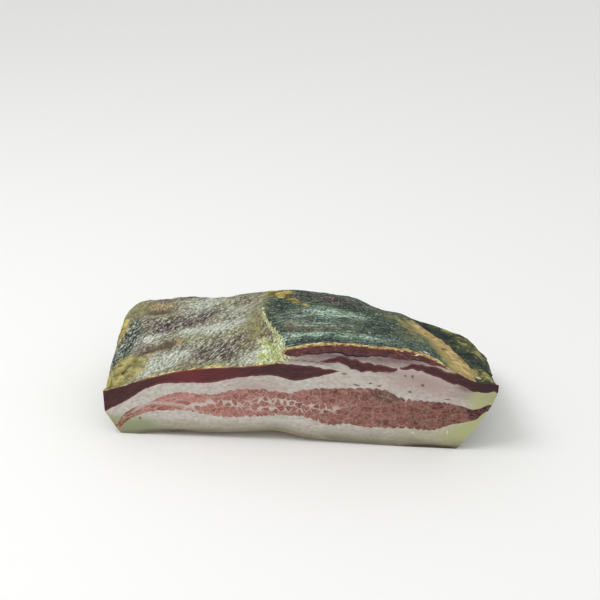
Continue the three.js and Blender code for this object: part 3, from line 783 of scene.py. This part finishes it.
def top_surface(column, t):
    """Height of the dried top, with the step at the seam and the ridge at the right."""
    step = ease(step_foot, step_head, column)
    front = left_panel(column) + (right_panel(column) - left_panel(column)) * step
    x, y = column_x(column, t), half_depth * t
    past = column - ridge_front
    ridge = ridge_drop * ease(-ridge_face, ridge_face, past) * (1 - t * t)
    crest = ridge_crest * np.exp(-(((past + 6) / 4) ** 2)) * (1 - t * t)
    from_end = np.minimum(column - left_end, right_end - column)
    worn = end_edge_drop * roll_over(end_edge_width, 0, from_end)
    broad, fine = dried_relief(x, y)
    behind_cut = (broad - worn) * ease(-1, -0.8, t) + fine * (0.35 + 0.65 * ease(-1, -0.95, t))
    return towards_back(front, x, t) + crest - ridge + behind_cut


def muscle_sides(shape, lift=0.0):
    """Lower and upper side of a muscle. Its bare part can be lifted clear of the slab's top."""
    low = buried(border_on_cut(shape["low"], shape["torn"]))
    border = buried(border_on_cut(shape["high"], shape["torn"]))

    def high(column, t):
        surface = top_surface(column, t) + lift
        upper = np.where(shape["bare"](column), surface, np.minimum(border(column, t), surface))
        return np.maximum(upper, low(column, t) + thin_end)

    return low, high


# Lean dried right through is hard and close-grained. Where the knife went it is wine dark with a
# low gloss, redder where it is thickest, and browner and duller under the crust at its top edge.
dark_lean, tree, surface, here = stuff("dried_lean_cut", {
    "Roughness": 0.38, "IOR": 1.45, "Specular IOR Level": 0.25,
})
fibres = flecks(tree, "along_layer", (5, 4, 1.1), detail=4, seed=4)
broad = flecks(tree, "along_layer", (24, 20, 9), detail=2, seed=6)
shade = two_tone(tree, fibres, 0.36, 0.66, "#3a2023", "#532e2d")
share = unevenly(tree, "fresh", broad, 0.35, 0.6, 0.4)
shade = two_tone(tree, share, 0, 1, shade, "#6a2c30")
share = add(tree, "Math", {0: "at_border", 1: fibres}, operation="MULTIPLY")
shade = two_tone(tree, share, 0, 1, shade, "#825250")
shade = two_tone(tree, "old_end", 0, 1, shade, "#332024")
browned = add(tree, "Math", {0: fibres, 1: 0.7, 2: "edge_crust"}, operation="MULTIPLY_ADD")
shade = two_tone(tree, browned, 1.15, 1.45, shade, "#96694c")
surfaced(tree, surface, shade, fibres, 0.4, 0.4)

# The flap is so thin that it dried to jerky: a crumbly orange-brown crust on top, red-brown lean
# under it, and a dark line painted as the shade of the gap where it had begun to lift off the fat.
flap_cut, tree, surface, here = stuff("flap_lean_cut", {
    "Roughness": 0.5, "IOR": 1.45, "Specular IOR Level": 0.25,
})
fibres = flecks(tree, "along_layer", (5, 4, 0.8), detail=4, seed=11)
crumbs = flecks(tree, "along_layer", (1.8, 2, 0.9), detail=4, seed=12)
shade = two_tone(tree, fibres, 0.36, 0.64, "#40232a", "#663c38")
shade = two_tone(tree, crumbs, 0.56, 0.72, shade, "#8f6553")
# Painted shade of the gap under the flap, where it had begun to lift off the fat.
shade = two_tone(tree, "lifted", 0, 1, shade, "#24171e")
crusty = two_tone(tree, crumbs, 0.38, 0.66, "#7a5430", "#dfcb90")
browned = add(tree, "Math", {0: crumbs, 1: "edge_crust"}, operation="ADD")
rusty = two_tone(tree, crumbs, 0.4, 0.6, "#5e2f24", "#9a5c32")
shade = two_tone(tree, browned, 0.65, 0.95, shade, rusty)
shade = two_tone(tree, browned, 1.0, 1.3, shade, crusty)
flaked = add(tree, "Math", {0: crumbs, 1: 1.2, 2: "white_flake"}, operation="MULTIPLY_ADD")
shade = two_tone(tree, flaked, 0.95, 1.1, shade, "#e6dcc8")
surfaced(tree, surface, shade, crumbs, 0.7, 0.6)


def lay_fibres(mesh, shape):
    """Notes how the fibres lie along a muscle, and how far its cut is under the dried top."""
    x, y, z = corners_of(mesh)
    low = border_on_cut(shape["low"], shape["torn"])(x)
    high = border_on_cut(shape["high"], shape["torn"])(x)
    step = ease(step_foot, step_head, x)
    top = left_panel(x) + (right_panel(x) - left_panel(x)) * step
    note(
        mesh,
        along_layer=np.stack([x, y, z - low]) * MM,
        at_border=ease(1.3, 0, np.minimum(z - low, np.abs(high - z))),
        edge_crust=ease(1.7, 0.2, top - z) * ease(92, 80, x) * ease(-96, -80, x),
        white_flake=0.9 * oval(x, z, (64.4, 56.1), 1.3, 0.6, 0.35)
        + 0.7 * oval(x, z, (56.5, 58.2), 1.2, 0.4, -0.1)
        + 0.6 * oval(x, z, (77.5, 51.6), 0.9, 0.4, -0.5),
        # Where the gap under the flap gets its painted shade.
        lifted=1.3 * ease(1.5, 0.3, z - low) * oval(x, z, (29, 54), 16, 9),
        fresh=oval(x, z, (-50, 39), 22, 12) + 0.6 * oval(x, z, (47, 47.5), 8, 4),
        old_end=0.8 * ease(80, 104, x),
    )


def columns_across(shape):
    """The columns that a muscle spans, its two ends included."""
    start, end, clear = shape["from"], shape["to"], 0.3
    between = (all_columns > start + clear) & (all_columns < end - clear)
    return np.concatenate([[start], all_columns[between], [end]])


for name, shape in upper_muscles.items():
    low, high = muscle_sides(shape)
    mesh = layer_mesh(name + "_dried", columns_across(shape), depths, low, high, rows=11, top=OUTSIDE)
    lay_fibres(mesh, shape)
    cut, slot_name = (flap_cut, "mouldy_lean") if name == "flap_lean" else (dark_lean, "lean")
    finished(name + "_dried", mesh, [cut, None, cut], name, slot_name)

# Upper fat: one body of fat that all four muscles lie in. It shows in the cut between them, and
# comes up through the dried top at the seam, and as the ridge on the right.
past_outside = 6


def bed_of(name, shape):
    """The space that a muscle takes up in the fat, drawn out past every side where it is bare."""
    low, high = muscle_sides(shape, lift=past_outside)
    columns = columns_across(shape)
    if shape["from"] == left_end:
        columns = np.append(left_end - past_outside, columns)
    if shape["to"] == right_end:
        columns = np.append(columns, right_end + past_outside)
    beyond = 1 + past_outside / half_depth
    mesh = layer_mesh(name, columns, np.concatenate([[-beyond], depths, [beyond]]), low, high, rows=2)
    mesh.polygons.foreach_set("material_index", np.full(len(mesh.polygons), BURIED, np.int32))
    return mesh


def carved(block_mesh, bed_meshes):
    """The block of fat with the muscles' beds cut out of it."""
    solids = []
    for mesh in [block_mesh, *bed_meshes]:
        for _ in range(3):
            mesh.materials.append(cut_fat)
        solids.append(bpy.data.objects.new(mesh.name, mesh))
        bpy.context.collection.objects.link(solids[-1])
    block = solids[0]
    for bed in solids[1:]:
        cut = block.modifiers.new(bed.name, "BOOLEAN")
        cut.operation, cut.solver, cut.object = "DIFFERENCE", "MANIFOLD", bed
    depsgraph = bpy.context.evaluated_depsgraph_get()
    result = bpy.data.meshes.new_from_object(block.evaluated_get(depsgraph))
    for spent in solids:
        bpy.data.objects.remove(spent)
    result.validate()
    return result


fat_block = layer_mesh("fat_block", all_columns, depths, buried(streaky_high), top_surface,
                       rows=30, top=OUTSIDE)
upper_fat_mesh = carved(fat_block, [bed_of(*item) for item in upper_muscles.items()])
upper_fat_mesh.materials[OUTSIDE] = None
stain_fat(upper_fat_mesh, streaky_high)
finished("upper_fat_in_folds", upper_fat_mesh, [], "upper_fat", "fat")

# The dried outside. Over months of hanging, lean and fat alike grow a thin dark crust, and white,
# mint and yellow moulds spread on it. The crust runs on from layer to layer, so it is one
# material on all of them, and it goes on last.


def grown_over(tree, shade, patch, frayed_by, tones_by, dark, light, fray=0.8, edge=0.12):
    """Lays one patch over the shade, with its border frayed and its own two tones."""
    reach = add(tree, "Math", {0: frayed_by, 1: fray, 2: patch}, operation="MULTIPLY_ADD")
    middle = 0.5 + fray / 2
    coat = two_tone(tree, tones_by, 0.42, 0.6, dark, light)
    return two_tone(tree, reach, middle - edge, middle + edge, shade, coat)


def veiled(tree, shade, patch, streaks, dark, light, most=1.0, thin=0.35):
    """Lays a soft veil over the shade, thicker along the streaks that it takes its tones from."""
    share = unevenly(tree, patch, streaks, 0.4, 0.56, thin, 1.15)
    coat = two_tone(tree, streaks, 0.4, 0.64, dark, light)
    return dusted(tree, shade, share, 0, 1, coat, most)


# Mould is a mat of threads, so it never shines: fully rough, and soft or ragged at its borders.
# Its streaks follow the fibres of the lean below, under 1 mm wide and 5 to 15 long.
mould, tree, surface, here = stuff("mouldy_crust", {
    "Roughness": 0.85, "IOR": 1.45, "Specular IOR Level": 0.12,
})
blotches = flecks(tree, here, (9, 9, 9), detail=5, seed=2)
tints = flecks(tree, here, (16, 11, 11), seed=14)
nodules = flecks(tree, here, (4.5, 4.5, 4.5), seed=15)
specks = flecks(tree, here, (1.2, 1.2, 1.2), seed=5)
left_streaks = flecks(tree, here, (4.5, 0.7, 2), turn=left_fibre_turn, seed=8)
left_streaks = add(tree, "MixRGB", {"Fac": 0.4, "Color1": left_streaks, "Color2": specks})
flap_streaks = flecks(tree, here, (8, 1.1, 2), seed=9)
flap_streaks = add(tree, "MixRGB", {"Fac": 0.5, "Color1": flap_streaks, "Color2": specks})

left = two_tone(tree, blotches, 0.4, 0.6, "#6f655a", "#827f6a")
left = two_tone(tree, tints, 0.48, 0.62, left, "#84855f")
left = two_tone(tree, tints, 0.46, 0.34, left, "#68564f")
flap = two_tone(tree, blotches, 0.38, 0.6, "#3a4843", "#55665a")
flap = two_tone(tree, tints, 0.5, 0.62, flap, "#5c6a50")
flap = two_tone(tree, tints, 0.46, 0.36, flap, "#34494a")
right = two_tone(tree, blotches, 0.42, 0.62, "#27312e", "#434c42")
streaks = two_tone(tree, "on_flap", 0.4, 0.6, left_streaks, flap_streaks)
shade = two_tone(tree, "on_flap", 0.4, 0.6, left, flap)
shade = veiled(tree, shade, "wine_lean", blotches, "#3b2b2f", "#544143")
shade = veiled(tree, shade, "brown_crust", blotches, "#4b463c", "#67604f")
# Slate mould, whose dark tones also paint the shadow just right of the seam's step.
shade = veiled(tree, shade, "slate_mould_and_seam_shadow", blotches, "#222d2c", "#3a4943")
shade = dusted(tree, shade, streaks, 0.5, 0.32, "#252420", 0.9)
dusty_left = dusted(tree, shade, left_streaks, 0.5, 0.61, "#cdcfbd", 0.85)
dusty_flap = dusted(tree, shade, flap_streaks, 0.51, 0.64, "#99ab95", 0.65)
shade = two_tone(tree, "on_flap", 0.4, 0.6, dusty_left, dusty_flap)
shade = veiled(tree, shade, "brown_dent", specks, "#432f2c", "#654840", 0.9)
shade = veiled(tree, shade, "tan_rim", specks, "#85734f", "#b7a77f", 0.9)
shade = veiled(tree, shade, "olive_crust", nodules, "#6a6644", "#9d9866", 0.85)
shade = veiled(tree, shade, "pale_mould", left_streaks, "#8f9585", "#e4e8da", 0.85)
shade = veiled(tree, shade, "mint_mould", streaks, "#5f7a6c", "#c8deca", thin=0.1)
olive_right = veiled(tree, right, "olive_crust", nodules, "#66633a", "#b3ae6c")
olive_right = dusted(tree, olive_right, nodules, 0.56, 0.7, "#8b8f5c", 0.35)
olive_right = dusted(tree, olive_right, specks, 0.46, 0.34, "#232924", 0.75)
shade = grown_over(tree, shade, "right_crust", blotches, specks, olive_right, olive_right, fray=0.3)
shade = grown_over(tree, shade, "gold_crust", nodules, nodules, "#6a5d2f", "#c9b96e", edge=0.3)
shade = grown_over(tree, shade, "seam_crust", specks, specks, "#77763f", "#dce0b4", fray=1.6)
lime = two_tone(tree, nodules, 0.4, 0.56, "#b3bd72", "#e8efd6")
shade = grown_over(tree, shade, "lime_mould", nodules, specks, "#959c5c", lime, fray=1.4, edge=0.25)
shade = grown_over(tree, shade, "rim_crust", specks, nodules, "#85602f", "#dfcd96", fray=2.4)
shade = grown_over(tree, shade, "white_flakes", specks, specks, "#c9bb9c", "#f0e9da", fray=1.2)
# Below the top the sides are painted darker, as shade, over the crust's own tones for lean and for fat.
side_crust_and_shade = two_tone(tree, blotches, 0.38, 0.62, "#3f4540", "#62655a")
fat_side = two_tone(tree, nodules, 0.36, 0.64, "#6a694f", "#8f8b6c")
layered = add(tree, "Math", {0: blotches, 1: 1.6, 2: "fat_below"}, operation="MULTIPLY_ADD")
side_crust_and_shade = two_tone(tree, layered, 0.7, 1.9, side_crust_and_shade, fat_side)
shade = two_tone(tree, "down_side", 0, 1.4, shade, side_crust_and_shade)
ridge = two_tone(tree, nodules, 0.34, 0.6, "#958150", "#ceb67c")
ridge = two_tone(tree, tints, 0.5, 0.66, ridge, "#b39a6e")
ridge = veiled(tree, ridge, "ridge_side", nodules, "#645f38", "#a39a62")
shade = grown_over(tree, shade, "ridge_fat", nodules, nodules, ridge, ridge, fray=1.6, edge=0.3)
yellow = two_tone(tree, nodules, 0.34, 0.64, "#6c6439", "#bcb276")
yellow = two_tone(tree, blotches, 0.44, 0.34, yellow, "#6d6b4c")
shade = grown_over(tree, shade, "yellow_fat", blotches, nodules, yellow, yellow, fray=1.6, edge=0.2)
shade = grown_over(tree, shade, "pit", specks, specks, "#231e17", "#3f3524", fray=1.0, edge=0.3)
grit = add(tree, "MapRange", {
    "Value": specks, "From Min": 0.3, "From Max": 0.7, "To Min": 0.36, "To Max": 0.64,
})
calmer = add(tree, "MapRange", {"Value": "down_side", "To Min": 0.7, "To Max": 0.4})
shade = add(tree, "MixRGB", {"Fac": calmer, "Color1": shade, "Color2": grit}, blend_type="OVERLAY")
height = add(tree, "Math", {0: specks, 1: 0.7, 2: streaks}, operation="MULTIPLY_ADD")
surfaced(tree, surface, shade, height, 0.7, 0.7)

crusted = {"back_fat_on_rind": 1, "streaky_lean_in_bundles": 0, "upper_fat_in_folds": 1}
crusted |= {name + "_dried": 0 for name in upper_muscles}
for name, fat_below in crusted.items():
    mesh = bpy.data.objects[name].data
    mesh.materials[OUTSIDE] = mould
    x, y, z = corners_of(mesh)
    t = np.clip(y / half_depth, -1, 1)
    below_top = towards_back(np.where(x < seam_front, left_panel(x), right_panel(x)), x, t) - z
    near_top = ease(10, 4, below_top)
    patches = {patch: strength if patch == "on_flap" else strength * near_top
               for patch, strength in dried_patches(x, y).items()}
    note(mesh, **patches, down_side=ease(3, 10, below_top), fat_below=np.full(len(x), fat_below))

# A plain pale floor, soft studio lamps, and the camera where the slab was looked at from: near
# its middle, a little to the right, and 25 degrees up.
floor_mesh = bpy.data.meshes.new("floor")
reach_m = 3.0
floor_corners = [(x * reach_m, y * reach_m, 0) for x, y in [(-1, -1), (1, -1), (1, 1), (-1, 1)]]
floor_mesh.from_pydata(floor_corners, [], [(0, 1, 2, 3)])
floor = bpy.data.objects.new("floor", floor_mesh)
bpy.context.collection.objects.link(floor)
floor_paint, *_ = stuff("pale_floor", {"Base Color": "#f4f4f2", "Roughness": 0.9})
floor_mesh.materials.append(floor_paint)

world = bpy.data.worlds.new("studio")
world.use_nodes = True
daylight = world.node_tree.nodes["Background"]
daylight.inputs["Color"].default_value = (1, 1, 1, 1)
daylight.inputs["Strength"].default_value = 0.78
bpy.context.scene.world = world

lit_height_m = 0.03
lamps = {"key_light": ((-0.5, -0.25, 0.9), 0.5, 3.6), "fill_light": ((0.6, -0.8, 0.5), 0.8, 0.5)}
for name, (place_m, size_m, power) in lamps.items():
    lamp = bpy.data.lights.new(name, "AREA")
    lamp.size, lamp.energy = size_m, power
    holder = bpy.data.objects.new(name, lamp)
    holder.location = place_m
    aim = Vector((0, 0, lit_height_m)) - holder.location
    holder.rotation_euler = aim.to_track_quat("-Z", "Y").to_euler()
    bpy.context.collection.objects.link(holder)

camera_turn, camera_height = math.radians(5), math.radians(25)
camera_distance = 565
looked_at = Vector((0, -half_depth, 31)) * MM
looked_at_in_picture = (292.3, 392)
picture, sensor, view_angle = 600, 36, math.radians(31.4)
pixel = 2 * math.tan(view_angle / 2) / picture * camera_distance
off_centre = (picture / 2 - looked_at_in_picture[0]) * pixel
raised = (looked_at_in_picture[1] - picture / 2) * pixel
camera_data = bpy.data.cameras.new("camera")
camera_data.sensor_width = sensor
camera_data.lens = sensor / 2 / math.tan(view_angle / 2)
camera = bpy.data.objects.new("camera", camera_data)
camera.rotation_euler = (math.pi / 2 - camera_height, 0, camera_turn)
stand_off = camera.rotation_euler.to_matrix() @ Vector((off_centre, raised, camera_distance))
camera.location = looked_at + stand_off * MM
bpy.context.collection.objects.link(camera)
bpy.context.scene.camera = camera
bpy.context.scene.view_settings.view_transform = "Standard"
